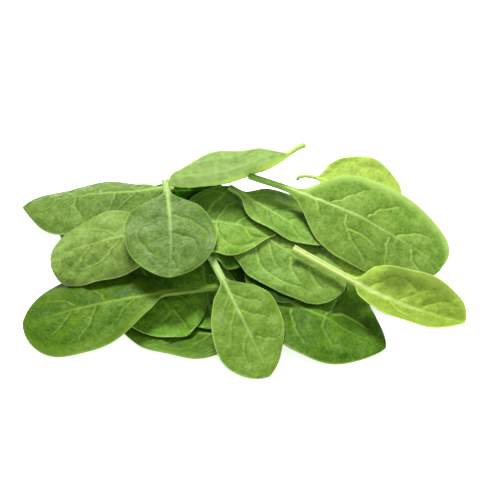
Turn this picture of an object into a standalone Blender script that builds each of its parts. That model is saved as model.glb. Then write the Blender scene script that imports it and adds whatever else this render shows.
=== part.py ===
# A loose heap of baby spinach leaves lying on a flat surface, as one solid.
# Each leaf is a thin wavy blade on a short stalk. The leaves are laid one by one, the lowest first, and every leaf
# is pushed up wherever it would pass through what lies under it. A low mound fills the inside of the heap.
# Lengths are in mm and angles in degrees until the last step, which turns them into metres.
import bmesh
import bpy
import numpy as np

for old in list(bpy.data.objects):
    bpy.data.objects.remove(old, do_unlink=True)

# Sizes that drive the heap.
leaf_thickness = 1.1        # of a blade, drawn thicker than a real one so that it stays a sound solid
stalk_thickness = 2.4       # of a stalk, where it leaves the blade
clearance = 1.0             # kept between a leaf's under side and what it lies on
core_length = 146.0         # of the mound's oval foot, left to right
core_depth = 86.0           # of the mound's oval foot, front to back
core_middle = (-1.0, 4.0)   # centre of that oval
core_rings = 12
core_spokes = 40
core_cover = 2.6            # how far the mound stays under the leaves' upper sides
heap_centre = (-0.4, 1.7)   # centre of the heap's box, which becomes the origin
degree = np.pi / 180

# What every leaf has unless it says otherwise.
# heading: the way the tip points, 0 to the right and 90 to the back. pitch: slope of the midrib at the blade's base.
# bend: how far the slope drops by the tip. turn: how far the heading changes by the tip.
# roll: the left side up. fold: slope of each side next to the midrib. cup: how much more each side rises outwards.
# left and right: the outline of each side, as half width, share of the length at its widest place, and how it closes
# towards base and tip; width sets both. neck: over how much the blade opens from the stalk. stalk_bend: slope gained
# by the stalk's end. seat: the stretch of the blade, and its share to each side, that rests on the mound.
usual = dict(length=50, width=38, stalk=4, stalk_half=1.6, neck=5, turn=0, pitch=0, bend=8, roll=0, stalk_bend=0,
             fold_left=-2, fold_right=-2, cup_left=-6, cup_right=-6, wave=0.8, waves=2, phase=0, fine=False,
             seat=(0.1, 0.7, 0.45))

# The leaves from the lowest to the highest: name, then x, y and z of the blade's base.
leaves = [
    ("floor_left", -26, 4, 6, dict(heading=192, pitch=-2, width=40, bend=6)),
    ("floor_right", 22, 10, 6, dict(heading=-2, pitch=-2, width=38, bend=6)),
    ("floor_back_left", -16, 30, 7, dict(heading=105, pitch=-6, length=32, width=34, bend=6)),
    ("floor_back_right", 20, 32, 7, dict(heading=70, pitch=-6, length=32, width=32, bend=6)),
    ("far_left_low", -46, 29, 11, dict(heading=163, pitch=-6, length=36, width=30, bend=6)),
    ("far_right_low", 50, 26, 11, dict(heading=15, pitch=-8, length=38, width=34, bend=6)),
    ("right_low", 42, 7, 12, dict(heading=-12, pitch=-4, length=42, width=34, bend=6)),
    ("back_left", -32, 26, 18, dict(heading=135, pitch=-12, length=46, width=36, bend=12)),
    ("back_right", 34, 26, 18, dict(heading=55, pitch=-18, length=42, width=36, bend=10)),
    ("back_middle", 0, 28, 18, dict(heading=92, pitch=-24, length=38, width=36)),
    ("left_inside", -40, 13, 17, dict(heading=184, pitch=-8, length=36, width=32)),
    ("middle_inside", -8, 16, 19, dict(heading=-90, pitch=-16, length=26, width=32, bend=6)),
    ("right_under", 9.5, 22, 23, dict(heading=-32, pitch=-10, length=58, width=38, bend=6)),
    ("back_slope_left", -20, 26, 26.5, dict(heading=114, pitch=-34, length=42, width=34, bend=2)),
    ("back_slope_middle", 0, 30, 25.5, dict(heading=90, pitch=-36, length=34, width=36, bend=2)),
    ("back_left_high", -7, 29, 33, dict(
        heading=168, pitch=-12, length=35, bend=0, left=(14, 0.5, 0.6, 0.6), right=(9, 0.5, 0.6, 0.6))),
    ("back_right_high", 14, 27, 28.5, dict(heading=68, pitch=-35, length=38, width=34, bend=0)),
    ("front_lowest", 2, -32.5, 4, dict(
        heading=178, length=51, stalk=6, bend=2, left=(13.2, 0.42, 0.4, 0.85), right=(14, 0.45, 0.5, 0.7),
        fine=True)),
    ("front_gap", -17, 3.5, 13, dict(heading=-80, pitch=-10, length=36, width=28, stalk=5, bend=12)),
    ("front_round", -48.9, 8.8, 16, dict(
        heading=-58, pitch=-8, length=53, stalk=3, bend=14, left=(20.5, 0.55, 0.5, 0.6),
        right=(19, 0.5, 0.5, 0.66), fine=True)),
    ("front_right_wide", 11, -17, 14, dict(
        heading=-24, pitch=-8, length=56, stalk=6, left=(22.5, 0.55, 0.6, 0.8), right=(22.3, 0.45, 0.57, 0.7),
        cup_left=-5, cup_right=-8, fine=True)),
    ("middle_gap_low", 3.5, -1, 19, dict(heading=-45, pitch=-14, length=30, width=22, stalk=2, bend=6)),
    ("left_long", -31.5, -20, 16, dict(
        heading=187, pitch=-3, length=62, stalk=26, bend=15, neck=7, roll=-8, left=(22, 0.62, 0.95, 0.42),
        right=(22, 0.62, 0.5, 0.75), cup_left=-8, cup_right=-10, fine=True)),
    ("front_pointing", -7, -18, 21, dict(
        heading=-64, pitch=-18, length=47.5, stalk=20, neck=7, left=(17.3, 0.38, 0.6, 0.85),
        right=(16, 0.62, 0.8, 0.45), fine=True)),
    ("middle_gap_high", -19, 10.5, 27, dict(heading=-38, pitch=-14, length=27, width=24, stalk=2, bend=6)),
    ("middle_broad", -6.5, 17.5, 30, dict(
        heading=-35, pitch=-10, length=63, stalk=3, roll=10, left=(13.8, 0.7, 0.8, 0.55),
        right=(20, 0.55, 0.5, 0.45), fold_left=-6, fold_right=-6, cup_left=-10, cup_right=-10, fine=True)),
    ("middle_narrow", -26.5, 13, 32, dict(
        heading=-10, pitch=-6, length=43, stalk=3, bend=6, roll=6, left=(19, 0.4, 0.5, 0.9),
        right=(18, 0.35, 0.5, 1.15), fine=True)),
    ("right_of_top", 0.5, 22.5, 35.5, dict(
        heading=-28, pitch=-14, length=42, stalk=6, bend=6, neck=7, left=(18, 0.45, 0.9, 0.6),
        right=(9, 0.38, 0.5, 0.6), fine=True)),
    ("back_bright", 34, 39, 31, dict(
        heading=-2, pitch=-14, length=39, stalk=10, roll=6, left=(17.5, 0.5, 0.78, 0.43),
        right=(17.5, 0.5, 0.8, 0.45), fold_left=4, fold_right=4, cup_left=8, cup_right=8, stalk_bend=85,
        stalk_half=0.9, neck=5, fine=True)),
    ("right_large", 20.5, 23, 38, dict(
        heading=-6, turn=-24, pitch=-18, length=75, stalk=20, neck=22, bend=6, roll=8,
        left=(24.3, 0.42, 1.5, 0.33), right=(22, 0.45, 0.6, 0.45), fold_left=0, fold_right=-8, cup_left=-3,
        cup_right=-8, fine=True)),
    ("right_front_pale", 48.5, -16.5, 19, dict(
        heading=-27, turn=28, pitch=-15, length=50, stalk=30, neck=4, bend=0, roll=15,
        left=(15.9, 0.5, 0.4, 0.36), right=(12.4, 0.42, 0.9, 0.8), fold_left=10, fold_right=12, cup_left=20,
        cup_right=14, seat=(-0.1, 0.35, 0.5), fine=True)),
    ("left_far_long", -32.5, 33, 28, dict(
        heading=170, pitch=-5, length=68, bend=21, neck=14, left=(20.5, 0.6, 0.5, 1.0),
        right=(13.3, 0.45, 0.7, 0.42), fold_left=-8, fold_right=-8, cup_left=-12, cup_right=-10, fine=True)),
    ("left_near", -33, 2.5, 30, dict(
        heading=181, pitch=2, length=51.5, stalk=3, bend=38, roll=-13, left=(18, 0.55, 0.33, 0.2),
        right=(21.5, 0.52, 0.5, 0.5), fold_left=-6, fold_right=-6, cup_left=-14, cup_right=-14, fine=True)),
    ("top_round", -31, 17.5, 39, dict(
        heading=-82, turn=-12, pitch=-12, length=41, stalk=8, neck=7, bend=14, left=(19.8, 0.48, 0.65, 0.78),
        right=(20.2, 0.42, 0.4, 0.55), cup_left=-5, cup_right=-5, fine=True)),
    ("top_folded", 21, 36, 47, dict(
        heading=212, turn=-34, pitch=-17, length=55, stalk=8, bend=-19, roll=55, neck=4, stalk_bend=30,
        left=(15.3, 0.55, 0.7, 0.5), right=(18.6, 0.5, 0.8, 0.5), fold_left=40, fold_right=45, cup_left=0,
        cup_right=0, seat=(0.5, 0.95, 0.12), fine=True)),
]


def ramp(x, low, high):
    # A smooth step from 0 at low to 1 at high: 3u^2 - 2u^3.
    u = np.clip((x - low) / (high - low), 0, 1)
    return u * u * (3 - 2 * u)


def half_width(leaf, along, side):
    # From midrib to margin, `along` mm past the blade's base. A quarter sine opens the blade to its widest place,
    # a flattened ellipse closes it, and the stalk's own half width blends in before the base.
    flare = 4.0
    share = np.logaddexp(0, along / flare) / np.logaddexp(0, leaf["length"] / flare)
    share = np.clip(share, 1e-6, 1)
    half, peak, taper, tip_round = leaf[side]
    opening = np.sin(np.pi / 2 * np.clip(share / peak, 0, 1)) ** taper
    closing = np.clip(1 - np.clip((share - peak) / (1 - peak), 0, 1) ** 2.1, 0, None) ** tip_round
    blade = opening * closing * half * ramp(along, -leaf["neck"] / 2, leaf["neck"])
    stalk = leaf["stalk_half"] * np.sqrt(np.clip(1 - share, 0, 1))
    return (blade ** 3 + stalk ** 3) ** (1 / 3)


def widths(leaf, along, across):
    # The half width on each point's own side.
    left = half_width(leaf, along, "left")[:, None]
    right = half_width(leaf, along, "right")[:, None]
    return np.where(across[None, :] >= 0, left, right)


def midrib(leaf, along):
    # Points of the midrib with its side and up directions. The midrib is the sum of small steps whose heading and
    # slope change evenly along the blade, and the slope again towards the stalk's end.
    fine = np.linspace(-leaf["stalk"], leaf["length"], 241)
    share = np.clip(fine / leaf["length"], 0, 1)
    down = np.clip(-fine / leaf["stalk"], 0, 1) ** 3
    heading = (leaf["heading"] + leaf["turn"] * share) * degree
    pitch = (leaf["pitch"] - leaf["bend"] * share + leaf["stalk_bend"] * down) * degree
    step = np.stack([np.cos(pitch) * np.cos(heading), np.cos(pitch) * np.sin(heading), np.sin(pitch)], 1)
    line = np.concatenate([np.zeros((1, 3)), np.cumsum((step[1:] + step[:-1]) / 2 * np.diff(fine)[:, None], 0)])
    line = line - [np.interp(0, fine, line[:, k]) for k in range(3)]
    points = np.stack([np.interp(along, fine, line[:, k]) for k in range(3)], 1)
    heading = np.interp(along, fine, heading)
    pitch = np.interp(along, fine, pitch)
    forward = np.stack([np.cos(pitch) * np.cos(heading), np.cos(pitch) * np.sin(heading), np.sin(pitch)], 1)
    level = np.stack([-np.sin(heading), np.cos(heading), 0 * heading], 1)
    above = np.cross(forward, level)
    roll = leaf["roll"] * degree
    side = level * np.cos(roll) + above * np.sin(roll)
    up = above * np.cos(roll) - level * np.sin(roll)
    return points, side, up


def middle_surface(leaf, along, across):
    # The surface half way through the leaf. across runs from -1 at the right margin to 1 at the left one.
    # Each side is an arc of a circle that starts at the fold's slope, with a wave that grows towards the margin.
    points, side, up = midrib(leaf, along)
    share = (along / leaf["length"])[:, None]
    blade = ramp(share, -0.05, 0.25)
    left = (across >= 0)[None, :]
    out = np.abs(across)[None, :]
    width = widths(leaf, along, across)
    arc = 2 * np.where(left, leaf["cup_left"], leaf["cup_right"]) * degree * blade
    arc = np.where(np.abs(arc) < 1e-3, 1e-3, arc)
    fold = np.where(left, leaf["fold_left"], leaf["fold_right"]) * degree * blade
    flat = width * np.sin(arc * out) / arc
    rise = width * (1 - np.cos(arc * out)) / arc
    x = (flat * np.cos(fold) - rise * np.sin(fold)) * np.sign(across)[None, :]
    z = flat * np.sin(fold) + rise * np.cos(fold)
    phase = leaf["phase"] + np.where(left, 0, 2.1)
    wave = leaf["wave"] * out ** 3 * np.sin(2 * np.pi * leaf["waves"] * share + phase)
    z = z + wave * ramp(share, 0, 0.3) * ramp(width, 0, 8)
    return points[:, None] + side[:, None] * x[..., None] + up[:, None] * z[..., None]


# Laying the leaves.
cell = 1.0                          # of the grid that holds the height of the heap so far
grid_start = np.array([-125.0, -95.0])
height = np.zeros((251, 191))
laid_along = np.linspace(0, 1, 49)  # where a leaf is compared with the heap
laid_across = np.linspace(-1, 1, 17)


def along_of(leaf, share):
    return -leaf["stalk"] + share * (leaf["stalk"] + leaf["length"])


def height_at(x, y):
    # Height of the heap so far, blended between the four nearest grid points.
    u = np.clip((x - grid_start[0]) / cell, 0, height.shape[0] - 1.001)
    v = np.clip((y - grid_start[1]) / cell, 0, height.shape[1] - 1.001)
    i = u.astype(int)
    j = v.astype(int)
    f = u - i
    g = v - j
    low = height[i, j] * (1 - f) + height[i + 1, j] * f
    high = height[i, j + 1] * (1 - f) + height[i + 1, j + 1] * f
    return low * (1 - g) + high * g


def neighbours(a):
    p = np.pad(a, 1, mode="edge")
    return [p[1:-1, 1:-1], p[:-2, 1:-1], p[2:, 1:-1], p[1:-1, :-2], p[1:-1, 2:]]


def spread(a, rounds):
    # Carries each high value to its neighbours, then smooths, so that a leaf bends over what pushes it.
    for _ in range(rounds):
        a = np.max(neighbours(a), 0)
    for _ in range(rounds + 1):
        near = neighbours(a)
        a = (sum(near) + near[0]) / 6
    return a


def curve_weights(share, count):
    # Weights of a smooth curve through `count` even samples, at each share of its length.
    g = np.clip(share, 0, 1) * (count - 1)
    i = np.clip(np.floor(g).astype(int), 0, count - 2)
    f = g - i
    parts = [(1 - f) ** 3, 3 * f ** 3 - 6 * f ** 2 + 4, -3 * f ** 3 + 3 * f ** 2 + 3 * f + 1, f ** 3]
    weights = np.zeros((len(g), count))
    for k, part in enumerate(parts):
        np.add.at(weights, (np.arange(len(g)), np.clip(i - 1 + k, 0, count - 1)), part / 6)
    return weights


def push_of(leaf):
    # How far each part of a leaf is lifted so that its under side clears the heap so far. The rib hangs under the
    # blade by a share of its own half width.
    along = along_of(leaf, laid_along)
    points = middle_surface(leaf, along, laid_across) + leaf["base"]
    rib = leaf["stalk_half"] * (1 - 0.8 * np.clip(along / leaf["length"], 0, 1))[:, None]
    from_rib = laid_across[None, :] * widths(leaf, along, laid_across)
    under = 0.3 + 0.75 * rib * np.exp(-(from_rib / (0.9 * rib)) ** 2)
    need = height_at(points[..., 0], points[..., 1]) + under + clearance - points[..., 2]
    return spread(np.clip(need, 0, None), 2)


def laid_surface(leaf, along, across):
    share = (along + leaf["stalk"]) / (leaf["stalk"] + leaf["length"])
    points = middle_surface(leaf, along, across) + leaf["base"]
    lift = curve_weights(share, 49) @ leaf["push"] @ curve_weights((across + 1) / 2, 17).T
    points[..., 2] += lift
    return points


def cells_of(points):
    i = np.round((points[..., 0] - grid_start[0]) / cell).astype(int)
    j = np.round((points[..., 1] - grid_start[1]) / cell).astype(int)
    return np.clip(i, 0, height.shape[0] - 1), np.clip(j, 0, height.shape[1] - 1)


dense_share = np.linspace(0, 1, 201)
dense_across = np.linspace(-1, 1, 81)
heap = []
for name, x, y, z, own in leaves:
    leaf = dict(usual, name=name, base=np.array([x, y, z], float))
    leaf.update(own)
    for side in ("left", "right"):
        leaf.setdefault(side, (leaf["width"] / 2, 0.5, 0.9, 0.55))
    leaf["push"] = push_of(leaf)
    leaf["dense"] = laid_surface(leaf, along_of(leaf, dense_share), dense_across)
    np.maximum.at(height, cells_of(leaf["dense"]), leaf["dense"][..., 2] + 0.25)
    heap.append(leaf)


def to_metres(points):
    return (points - [heap_centre[0], heap_centre[1], 0]) * 0.001


def solid_leaf(leaf, home):
    # A flat grid whose rows run from the stalk's end to the tip takes the leaf's middle surface. It is split into
    # triangles before it gets its thickness, so that both sides are split alike.
    if leaf["fine"]:
        stations = np.array([0, 0.06, 0.15, 0.27, 0.4, 0.53, 0.66, 0.78, 0.88, 0.945, 0.98]) * leaf["length"]
        stations = np.concatenate([[-leaf["stalk"], -0.3 * leaf["stalk"]], stations])
    else:
        stations = np.array([0.02, 0.18, 0.4, 0.62, 0.83, 0.97]) * leaf["length"]
        stations = np.concatenate([[-leaf["stalk"]], stations])
    across = np.linspace(-1, 1, 5)
    work = bmesh.new()
    bmesh.ops.create_grid(work, x_segments=len(stations) - 1, y_segments=len(across) - 1, size=1)
    bmesh.ops.triangulate(work, faces=work.faces[:], quad_method="FIXED")
    middle = laid_surface(leaf, stations, across)
    blade_only = ramp(stations / leaf["length"], -0.1, 0.25)
    stalk_share = (1 - blade_only)[:, None] * (1 - across ** 2)[None, :]
    half = (leaf_thickness + (stalk_thickness - leaf_thickness) * stalk_share) / 2
    middle[..., 2] = np.maximum(middle[..., 2], half + 0.4)
    middle = to_metres(middle)
    share_of = {}
    for vertex in work.verts:
        i = round((vertex.co.x + 1) / 2 * (len(stations) - 1))
        j = round((vertex.co.y + 1) / 2 * (len(across) - 1))
        vertex.co = middle[i, j]
        share_of[vertex.index] = float(stalk_share[i, j])
    mesh = bpy.data.meshes.new(leaf["name"])
    work.to_mesh(mesh)
    work.free()
    made = bpy.data.objects.new(leaf["name"], mesh)
    home.objects.link(made)
    group = made.vertex_groups.new(name="stalk")
    for number, weight in share_of.items():
        group.add([number], weight, "REPLACE")
    solid = made.modifiers.new("thickness", "SOLIDIFY")
    solid.thickness = stalk_thickness * 0.001
    solid.vertex_group = "stalk"
    solid.thickness_vertex_group = leaf_thickness / stalk_thickness
    solid.offset = 0
    return made


def core_heights():
    # The mound stays under the lowest upper side near each point. In the middle of each leaf that lies on top it
    # rises into the leaf's thickness, so that the leaf grows from it, and falls off evenly around that.
    ceiling = height.copy()
    for _ in range(4):
        ceiling = np.min(neighbours(ceiling), 0)
    under = ceiling - core_cover
    for _ in range(3):
        under = (sum(neighbours(under)) + under) / 6
    seats = np.full(height.shape, -100.0)
    for leaf in heap:
        start, end, reach = leaf["seat"]
        along = along_of(leaf, dense_share) / leaf["length"]
        rows = (along > start) & (along < end)
        columns = np.abs(dense_across) < reach
        seat = leaf["dense"][rows][:, columns]
        i, j = cells_of(seat)
        on_top = seat[..., 2] + 0.25 > height[i, j] - 0.4
        np.maximum.at(seats, (i[on_top], j[on_top]), seat[..., 2][on_top])
    around = seats.copy()
    for _ in range(12):
        around = np.maximum(around, np.max(neighbours(around), 0) - 1.2 * cell)
    mound = np.maximum(np.minimum(np.maximum(under, around), ceiling - 1.2), seats)
    return np.maximum(mound, 1.2)


def solid_core(home):
    # A sphere whose upper half becomes the mound: its rings spread over an oval and take their heights from the
    # heap. Its lower half becomes the one flat face that the heap rests on.
    heights = core_heights()
    work = bmesh.new()
    bmesh.ops.create_uvsphere(work, u_segments=core_spokes, v_segments=2 * core_rings, radius=1)
    bmesh.ops.delete(work, geom=[v for v in work.verts if v.co.z < -0.001], context="VERTS")
    for vertex in work.verts:
        flat = np.hypot(vertex.co.x, vertex.co.y)
        share = np.arctan2(flat, vertex.co.z) / (np.pi / 2)
        x = core_middle[0] + core_length / 2 * share * vertex.co.x / max(flat, 1e-9)
        y = core_middle[1] + core_depth / 2 * share * vertex.co.y / max(flat, 1e-9)
        i, j = cells_of(np.array([x, y]))
        z = heights[i, j] if share < 0.999 else 0
        vertex.co = to_metres(np.array([x, y, z]))
    rim = [edge for edge in work.edges if len(edge.link_faces) == 1]
    bmesh.ops.edgeloop_fill(work, edges=rim)
    bmesh.ops.triangulate(work, faces=[f for f in work.faces if len(f.verts) == 4], quad_method="FIXED")
    bmesh.ops.recalc_face_normals(work, faces=work.faces[:])
    mesh = bpy.data.meshes.new("spinach_heap")
    work.to_mesh(mesh)
    work.free()
    made = bpy.data.objects.new("spinach_heap", mesh)
    home.objects.link(made)
    return made


home = bpy.data.collections.new("spinach_heap")
bpy.context.scene.collection.children.link(home)
leaf_home = bpy.data.collections.new("leaves")
home.children.link(leaf_home)
for leaf in heap:
    solid_leaf(leaf, leaf_home)
body = solid_core(home)

# Mound and leaves become one body.
union = body.modifiers.new("union", "BOOLEAN")
union.operation = "UNION"
union.operand_type = "COLLECTION"
union.collection = leaf_home
union.solver = "EXACT"
graph = bpy.context.evaluated_depsgraph_get()
joined = bpy.data.meshes.new_from_object(body.evaluated_get(graph))
body.modifiers.clear()
body.data = joined
for leaf_object in list(leaf_home.objects):
    bpy.data.objects.remove(leaf_object, do_unlink=True)
bpy.data.collections.remove(leaf_home)


def keep_outer_shell(mesh):
    # Only the shell that holds the greatest volume stays, so that closed hollows are filled. A hollow's shell holds a
    # negative volume.
    work = bmesh.new()
    work.from_mesh(mesh)
    bmesh.ops.triangulate(work, faces=work.faces[:])
    work.faces.ensure_lookup_table()
    seen = set()
    shells = []
    for start in work.faces:
        if start.index in seen:
            continue
        seen.add(start.index)
        shell = [start]
        for face in shell:
            for edge in face.edges:
                for other in edge.link_faces:
                    if other.index not in seen:
                        seen.add(other.index)
                        shell.append(other)
        shells.append(shell)
    volumes = []
    for shell in shells:
        corners = np.array([[tuple(v.co) for v in face.verts] for face in shell])
        volumes.append(np.einsum("ij,ij->i", corners[:, 0], np.cross(corners[:, 1], corners[:, 2])).sum() / 6)
    keep = int(np.argmax(volumes))
    for number, shell in enumerate(shells):
        if number != keep:
            bmesh.ops.delete(work, geom=shell, context="FACES")
    loose = [v for v in work.verts if not v.link_faces]
    bmesh.ops.delete(work, geom=loose, context="VERTS")
    work.to_mesh(mesh)
    work.free()


keep_outer_shell(body.data)

# Leaf green.
green = bpy.data.materials.new("spinach_leaf")
green.use_nodes = True
surface = green.node_tree.nodes["Principled BSDF"]
surface.inputs["Base Color"].default_value = (0.13, 0.29, 0.05, 1)
surface.inputs["Roughness"].default_value = 0.45
body.data.materials.clear()
body.data.materials.append(green)
body.data.shade_smooth()
body.data.set_sharp_from_angle(angle=40 * degree)
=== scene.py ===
import bpy
import numpy as np
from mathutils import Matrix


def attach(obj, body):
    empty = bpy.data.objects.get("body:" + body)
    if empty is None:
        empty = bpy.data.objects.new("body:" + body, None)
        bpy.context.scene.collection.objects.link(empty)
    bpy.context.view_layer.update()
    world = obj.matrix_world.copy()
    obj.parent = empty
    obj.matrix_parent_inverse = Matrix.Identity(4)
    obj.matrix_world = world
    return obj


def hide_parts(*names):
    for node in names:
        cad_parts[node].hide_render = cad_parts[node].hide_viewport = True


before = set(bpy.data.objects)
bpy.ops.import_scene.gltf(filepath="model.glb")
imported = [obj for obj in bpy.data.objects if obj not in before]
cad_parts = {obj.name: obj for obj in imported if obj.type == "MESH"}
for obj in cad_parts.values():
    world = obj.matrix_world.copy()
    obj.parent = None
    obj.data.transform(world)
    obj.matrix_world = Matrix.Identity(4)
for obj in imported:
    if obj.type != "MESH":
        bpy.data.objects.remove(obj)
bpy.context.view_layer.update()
degree = np.pi / 180

# Lengths are in mm and angles in degrees. The heap's middle stands at this point of the leaves' own plan.
heapMiddle = (-0.4, 1.7)

# What every leaf has unless it says otherwise.
# x, y, z: the blade's base. heading: where the tip points, 0 right and 90 back. pitch: slope of the midrib there.
# bend: how far the slope drops by the tip. turn: how far the heading changes by the tip. roll: the left side up.
# neck: the blade opens from the stalk over this length. stalkBend: slope gained by the stalk's end.
# fold: slope of each side next to the midrib. cup: how much more each side rises outwards.
# left, right: the outline of each side, as half width, share of the length at its widest place, and how it closes
# towards base and tip; width sets both. wave, waves, phase: size, number and start of the waves along a margin.
# veins: side veins on each side. veinPoints: side veins of its own, each as points of (share of the length, share
# of the half width), the left side positive. underVein: how far veins stand out below. quilt: how far the blade
# swells between veins. lumps: strength of the uneven swellings. dents: hollows as (share of the length, share of
# the half width, reach, depth), each with painted shade in its middle. ribWide: how wide the midrib's paler line is.
# glow: painted light along each margin. shade: painted shade over each side. step: size of the mesh's cells.
usual = {
    "length": 50, "width": 38, "neck": 5, "pitch": 0, "bend": 8, "turn": 0, "roll": 0,
    "stalk": 4, "stalkHalf": 1.6, "stalkBend": 0,
    "foldLeft": -2, "foldRight": -2, "cupLeft": -6, "cupRight": -6, "wave": 0.8, "waves": 2, "phase": 0,
    "veins": 4, "underVein": 0.25, "quilt": 0.45, "lumps": 1, "dents": (), "ribWide": 1,
    "paintedLightLeft": 0, "paintedLightRight": 0, "shadeLeft": 0, "shadeRight": 0, "step": 1.1,
}

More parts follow.
